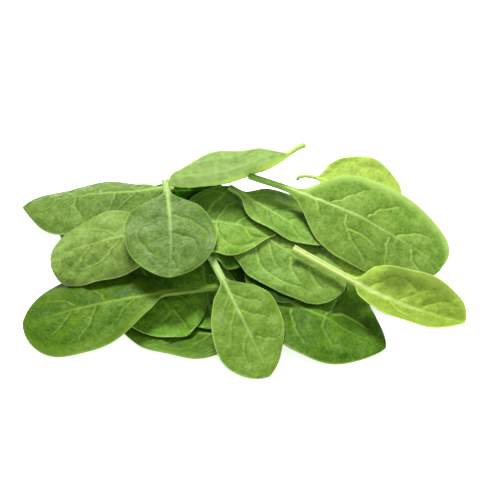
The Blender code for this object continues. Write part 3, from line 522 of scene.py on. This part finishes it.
def makeLeaf(name, leaf, home):
    # Rings of points go round the leaf from stalk end to tip. Both sides meet at the margins.
    along, across = ringsAlong(leaf), columnsAcross(leaf)
    width = widths(leaf, along, across)
    share = np.clip(along / leaf["length"], 0, 1)[:, None]
    blade = ramp(along / leaf["length"], -0.03, 0.12)[:, None]
    t = across[None, :]
    fromRib = np.abs(t) * width
    fromMargin = width * (1 - np.abs(t))
    margin = ramp(fromMargin, 0, relief["marginFade"])

    # Swellings between the veins, lumps and dents move the whole thickness up or down.
    nearest, strength, veinSide = veinDistances(leaf, along, across, width)
    swell = 1 - np.exp(-(np.minimum(nearest, fromRib * 1.3) / relief["swellReach"]) ** 2)
    lumps = 0
    for reach, size, count in relief["lumps"]:
        for a, b, c in leaf["random"].uniform(-1, 1, (count, 3)):
            lumps = lumps + leaf["lumps"] * size * np.sin(reach * (along[:, None] * a + t * width * b) + c * 9)
    raised = leaf["quilt"] * (swell - 0.6) * margin * blade + lumps * margin * blade
    dentShade = 0 * width
    for at, out, reach, depth in leaf["dents"]:
        away = np.hypot(along[:, None] - at * leaf["length"], (t - out) * width) / reach
        raised = raised - depth * np.exp(-away ** 2)
        # Painted shade: each hollow's middle is darkened in colour as well as sunk.
        dentShade = dentShade + 0.3 * max(depth, 0) * np.exp(-away ** 2)
    middle = laidSurface(leaf, along, across)
    normal = np.cross(np.gradient(middle, axis=0), np.gradient(middle, axis=1))
    normal = normal / np.maximum(np.linalg.norm(normal, axis=-1, keepdims=True), 1e-9)
    middle = middle + normal * raised[..., None]

    # Above, the veins and creases are cut in and the rib is a low ridge; below, rib and veins stand out. The stalk
    # is round with a groove along its top.
    rounding = 1 - np.clip(fromMargin / relief["skinRound"], 0, 1)
    skin = relief["skin"] * np.sqrt(1 - rounding ** 2)
    veinLine = np.exp(-(nearest / relief["veinHalf"]) ** 2) * strength * margin
    # The crease beside each vein is cut in above and also darkened in colour: painted shade.
    fromCrease = (nearest * veinSide - relief["creaseAt"]) / relief["creaseHalf"]
    creaseShade = np.exp(-fromCrease ** 2) * strength ** 0.5 * margin
    ribHalf = leaf["stalkHalf"] * (1 - 0.86 * share)
    ridgeHalf = 0.4 * ribHalf + 0.16
    ridge = 0.16 * ribHalf * np.exp(-(fromRib / ridgeHalf) ** 2)
    keel = 0.95 * ribHalf * np.exp(-(fromRib / (0.75 * ribHalf)) ** 2)
    upBlade = skin + (ridge - relief["veinDepth"] * veinLine - relief["creaseDepth"] * creaseShade) * margin
    downBlade = skin + (keel + leaf["underVein"] * veinLine) * margin
    stalkRound = np.sqrt(np.clip(1 - t ** 2, 0, 1))
    upStalk = leaf["stalkHalf"] * 0.8 * stalkRound * (1 - 0.42 * np.exp(-(t / 0.42) ** 2))
    downStalk = leaf["stalkHalf"] * 0.85 * stalkRound
    upper = middle + normal * (upStalk * (1 - blade) + upBlade * blade)[..., None]
    lower = middle - normal * (downStalk * (1 - blade) + downBlade * blade)[..., None]
    lower[..., 2] = np.maximum(lower[..., 2], 0.15)
    upper[..., 2] = np.maximum(upper[..., 2], 0.3)
    points = wrapped(upper, lower)
    ends = np.stack([points[0].mean(0), points[-1].mean(0)])

    # What the material reads, each as its values above and below.
    streak = 0.5
    for a, b, c in leaf["random"].uniform(-1, 1, (5, 3)):
        streak = streak + 0.2 * np.sin((1.2 + a) * 1.4 * t * width + 0.06 * b * along[:, None] + c * 9)
    ribPaint = np.exp(-(fromRib / (leaf["ribWide"] * ridgeHalf)) ** 2)
    # Painted highlight: the margin's thin rim is paler, for the light that its rounded edge catches.
    edge = 1 - ramp(fromMargin, 0.15, 0.7)
    stalkPaint = (1 - ramp(along, -4, 3)[:, None]) * (1 - 0.6 * np.abs(t) ** 1.5)
    # Painted light: a brighter band up to 7 mm in from each margin.
    glow = np.where(t > 0, leaf["paintedLightLeft"], leaf["paintedLightRight"]) * blade * (1 - ramp(fromMargin, 0, 7))
    # Painted shade: each side darker from 2.5 mm out of the midrib, and the dents' middles darker.
    shadow = np.where(t > 0, leaf["shadeLeft"], leaf["shadeRight"]) * blade * ramp(fromRib, 0, 2.5) + dentShade
    paint = {
        "vein": (veinLine, veinLine * leaf["underVein"] * 3),
        "creaseShade": (creaseShade, 0 * creaseShade),
        "rib": (ribPaint * np.clip(1.15 - 1.2 * share, 0.15, 1), ribPaint * (1 - 0.6 * share)),
        "edge": (edge, edge),
        "under": (0 * fromRib, 0 * fromRib + 1),
        "stalk": (stalkPaint, stalkPaint),
        "streak": (streak, streak),
        "glow": (glow, glow),
        "shadow": (shadow, shadow),
    }
    attributes = {}
    for key, (top, bottom) in paint.items():
        values = wrapped(top + 0 * fromRib, bottom + 0 * fromRib)
        attributes[key] = np.concatenate([values.ravel(), [values[0].mean(), values[-1].mean()]])
    faces = ringFaces(*points.shape[:2])
    return addMesh(name, np.concatenate([points.reshape(-1, 3), ends]), faces, attributes, home)


def node(tree, kind, **values):
    made = tree.nodes.new(kind)
    for key, value in values.items():
        if key in made.bl_rna.properties:
            setattr(made, key, value)
        else:
            made.inputs[key.replace("_", " ")].default_value = value
    return made


def mixed(tree, factor, first, second):
    # A colour mix; each colour is an output or a plain (r, g, b).
    made = node(tree, "ShaderNodeMix", data_type="RGBA", clamp_factor=True)
    for socket, value in ((made.inputs[0], factor), (made.inputs[6], first), (made.inputs[7], second)):
        if isinstance(value, tuple):
            socket.default_value = (*value, 1)
        elif isinstance(value, (int, float)):
            socket.default_value = value
        else:
            tree.links.new(value, socket)
    return made.outputs[2]


def scaled(tree, value, factor, offset=0.0):
    # value * factor + offset; the offset is a number or an output.
    made = node(tree, "ShaderNodeMath", operation="MULTIPLY_ADD")
    tree.links.new(value, made.inputs[0])
    made.inputs[1].default_value = factor
    if isinstance(offset, float):
        made.inputs[2].default_value = offset
    else:
        tree.links.new(offset, made.inputs[2])
    return made.outputs[0]


def noise(tree, coordinates, scale, detail=3.0, roughness=0.55):
    made = node(tree, "ShaderNodeTexNoise", Scale=scale, Detail=detail, Roughness=roughness)
    tree.links.new(coordinates, made.inputs["Vector"])
    return made.outputs["Fac"]


def painted(tree, below, name, strength, colour):
    # The colour laid over what is below it, as strongly as the mesh's attribute of that name says.
    values = node(tree, "ShaderNodeAttribute", attribute_name=name).outputs["Fac"]
    return mixed(tree, scaled(tree, values, strength), below, colour)


def tinted(colour, factor, more=(0, 0, 0)):
    return tuple(factor * c + d for c, d in zip(colour, more))


def addBump(tree, surface, height, strength, depth):
    bump = node(tree, "ShaderNodeBump", Strength=strength, Distance=depth)
    tree.links.new(height, bump.inputs["Height"])
    tree.links.new(bump.outputs["Normal"], surface.inputs["Normal"])


def makeLeafMaterial(name, look):
    # Mottled green blade with paler veins, painted shade in the creases beside them and a painted highlight on the
    # margin's rim; painted light along some margins and painted shade over some sides and in the dents; a paler
    # under side and stalk. Some light comes through it.
    look = {**usualLook, **look}
    dark, light, under = look["dark"], look["light"], look["under"]
    veinColour = tinted(light, 1.25, (0.08, 0.1, 0.03))
    material = bpy.data.materials.new(name)
    material.use_nodes = True
    tree = material.node_tree
    surface = tree.nodes["Principled BSDF"]
    output = tree.nodes["Material Output"]
    place = node(tree, "ShaderNodeTexCoord").outputs["Object"]
    broad = noise(tree, place, grainSizes["broad"])
    fine = noise(tree, place, grainSizes["fine"], 2.0, 0.5)
    grain = noise(tree, place, grainSizes["grain"], 2.0, 0.6)
    cells = node(tree, "ShaderNodeTexVoronoi", feature="DISTANCE_TO_EDGE", Scale=grainSizes["net"])
    tree.links.new(place, cells.inputs["Vector"])
    net = cells.outputs["Distance"]
    blade = mixed(tree, scaled(tree, broad, 2.4, -0.7), dark, light)
    blade = mixed(tree, scaled(tree, fine, 1.5, -0.68), blade, tinted(dark, 0.5))
    blade = mixed(tree, scaled(tree, net, -3.2, 0.4), blade, light)
    blade = mixed(tree, scaled(tree, grain, 1.7, -0.72), blade, tinted(dark, 0.55))
    # Painted light along the margins, where the glow attribute says.
    blade = painted(tree, blade, "glow", 1.0, tinted(light, 1.3, (0.03, 0.03, 0.03)))
    # Painted shade over the sides and in the dents' middles, where the shadow attribute says.
    blade = painted(tree, blade, "shadow", 1.0, tinted(dark, 0.45))
    # Painted shade in the creases beside the veins.
    blade = painted(tree, blade, "creaseShade", look["creaseShade"], tinted(dark, 0.4))
    below = mixed(tree, scaled(tree, fine, 2.6, -0.85), under, tinted(under, 0.62))
    below = painted(tree, below, "streak", 0.5, tinted(under, 1.25))
    blade = painted(tree, blade, "under", 1.0, below)
    blade = painted(tree, blade, "vein", look["vein"], veinColour)
    blade = painted(tree, blade, "rib", 0.9, look.get("rib", veinColour))
    # Painted highlight on the margin's thin rim.
    blade = painted(tree, blade, "edge", 0.7, tinted(light, 1.2, (0.12, 0.14, 0.07)))
    blade = painted(tree, blade, "stalk", 0.85, look["stalk"])
    tree.links.new(blade, surface.inputs["Base Color"])
    tree.links.new(scaled(tree, fine, 0.3, 0.32), surface.inputs["Roughness"])
    surface.inputs["Specular IOR Level"].default_value = look["gloss"]
    heights = scaled(tree, net, 0.8, scaled(tree, grain, 0.8, fine))
    addBump(tree, surface, heights, grainSizes["bump"], grainSizes["bumpDepth"])
    through = node(tree, "ShaderNodeBsdfTranslucent")
    tree.links.new(mixed(tree, 0.4, blade, (0.25, 0.45, 0.01)), through.inputs["Color"])
    both = node(tree, "ShaderNodeMixShader", Fac=look["through"])
    tree.links.new(surface.outputs[0], both.inputs[1])
    tree.links.new(through.outputs[0], both.inputs[2])
    tree.links.new(both.outputs[0], output.inputs["Surface"])
    return material


heapHome = bpy.data.collections.new("spinachHeap")
bpy.context.scene.collection.children.link(heapHome)
materials = {name: makeLeafMaterial(name, look) for name, look in looks.items()}

# Each leaf is laid on the heap so far, then raises the heap where it lies.
denseShare = np.linspace(0, 1, 201)
denseAcross = np.linspace(-1, 1, 81)
pieces = []
for number, (name, own) in enumerate(leaves.items()):
    leaf = {**usual, **own, "random": np.random.default_rng(100 + number)}
    for side in ("left", "right"):
        leaf.setdefault(side, (leaf["width"] / 2, 0.5, 0.9, 0.55))
    leaf["base"] = np.array([leaf["x"], leaf["y"], leaf["z"]], float)
    leaf["push"] = pushOf(leaf)
    dense = laidSurface(leaf, alongOf(leaf, denseShare), denseAcross)
    np.maximum.at(height, cellsOf(dense), dense[..., 2] + 0.25)
    piece = makeLeaf(name, leaf, heapHome)
    piece.data.materials.append(materials.get(name, materials["inner"]))
    pieces.append(piece)
print("leaves", len(pieces), "faces", sum(len(p.data.polygons) for p in pieces))

# The dark inside of the heap, which shows only as shade between the leaves: an oval dome, kept this far below them.
core = {
    "length": 118.0, "depth": 66.0, "height": 13.0, "middle": (-1.0, 6.0), "below": 3.5, "rings": 40, "spokes": 120,
    "dark": (0.004, 0.014, 0.002), "light": (0.03, 0.08, 0.01), "patches": 160,
}


def makeCore(home):
    # Rings of an oval, each as high as the dome over the oval allows and well under the leaves.
    under = height.copy()
    for _ in range(6):
        under = np.min(neighbours(under), 0)
    for _ in range(4):
        under = (sum(neighbours(under)) + under) / 6
    share = np.linspace(0, 1, core["rings"] + 1)[1:, None]
    turn = np.linspace(0, 2 * np.pi, core["spokes"], endpoint=False)[None, :]
    x = core["middle"][0] + core["length"] / 2 * share * np.cos(turn)
    y = core["middle"][1] + core["depth"] / 2 * share * np.sin(turn)
    dome = core["height"] * np.sqrt(1 - share ** 2) + 0 * turn
    z = np.clip(np.minimum(under[cellsOf(np.stack([x, y], -1))] - core["below"], dome), 0.3, None)
    z[-1] = 0.3
    upper = np.stack([x, y, z], -1)[::-1]
    lower = np.stack([x[-1], y[-1], 0 * x[-1] + 0.1], -1)[None]
    points = np.concatenate([lower, upper])
    ends = np.array([[*core["middle"], 0.1], [*core["middle"], upper[-1, :, 2].mean()]])
    faces = [tuple(reversed(face)) for face in ringFaces(*points.shape[:2])]
    return addMesh("heapInside", np.concatenate([points.reshape(-1, 3), ends]), faces, {}, home)


def makeCoreMaterial():
    material = bpy.data.materials.new("innerShade")
    material.use_nodes = True
    tree = material.node_tree
    surface = tree.nodes["Principled BSDF"]
    place = node(tree, "ShaderNodeTexCoord").outputs["Object"]
    patches = noise(tree, place, core["patches"])
    tree.links.new(mixed(tree, patches, core["dark"], core["light"]), surface.inputs["Base Color"])
    surface.inputs["Roughness"].default_value = 0.8
    addBump(tree, surface, patches, 0.6, 0.002)
    return material


inside = makeCore(heapHome)
inside.data.materials.append(makeCoreMaterial())
pieces.append(inside)
for piece in pieces:
    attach(piece, "root")
    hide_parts("spinach_heap")
print("inside")

# Floor, light and camera, in metres. The floor glows a little, which keeps the shadows on it pale.
studio = {
    "floorHalf": 4, "floor": (0.9, 0.9, 0.9), "glow": 0.75, "world": 0.45,
    "keyPower": 36.0, "keySize": 0.4, "keyPlace": (-0.15, 0.6, 1.2),
    "fillPower": 4.0, "fillSize": 0.8, "fillPlace": (0.5, -0.8, 0.9),
}
white = (1, 1, 1, 1)
half = studio["floorHalf"]
floorMesh = bpy.data.meshes.new("floor")
floorMesh.from_pydata([(-half, -half, 0), (half, -half, 0), (half, half, 0), (-half, half, 0)], [], [(0, 1, 2, 3)])
floor = bpy.data.objects.new("floor", floorMesh)
bpy.context.scene.collection.objects.link(floor)
floorMaterial = bpy.data.materials.new("floor")
floorMaterial.use_nodes = True
floorSurface = floorMaterial.node_tree.nodes["Principled BSDF"]
floorSurface.inputs["Base Color"].default_value = (*studio["floor"], 1)
floorSurface.inputs["Roughness"].default_value = 0.9
floorSurface.inputs["Emission Color"].default_value = white
floorSurface.inputs["Emission Strength"].default_value = studio["glow"]
floorMesh.materials.append(floorMaterial)

world = bpy.data.worlds.new("studio")
bpy.context.scene.world = world
world.use_nodes = True
world.node_tree.nodes["Background"].inputs["Color"].default_value = white
world.node_tree.nodes["Background"].inputs["Strength"].default_value = studio["world"]


def addArea(name, place, size, power):
    # A square soft light that faces the heap.
    light = bpy.data.lights.new(name, "AREA")
    light.size = size
    light.energy = power
    lamp = bpy.data.objects.new(name, light)
    bpy.context.scene.collection.objects.link(lamp)
    lamp.location = place
    direction = -np.array(place) + [0, 0, 0.02]
    flat = np.hypot(direction[0], direction[1])
    lamp.rotation_euler = (np.arctan2(flat, -direction[2]), 0, np.arctan2(direction[0], -direction[1]) + np.pi)


for name in ("key", "fill"):
    addArea(name, studio[name + "Place"], studio[name + "Size"], studio[name + "Power"])

# The camera stands 1 m from the heap, 40 degrees up, and sees 206.4 mm there from side to side.
elevation = 40 * degree
target = np.array([0.0004, 0.0083, 0.02])
cameraData = bpy.data.cameras.new("camera")
cameraData.sensor_width = 36
cameraData.lens = 36 / 0.2064
camera = bpy.data.objects.new("camera", cameraData)
bpy.context.scene.collection.objects.link(camera)
camera.location = target + np.array([0, -np.cos(elevation), np.sin(elevation)])
camera.rotation_euler = (np.pi / 2 - elevation, 0, 0)
bpy.context.scene.camera = camera
bpy.context.scene.view_settings.view_transform = "Standard"
bpy.context.scene.view_settings.look = "None"
print("studio")
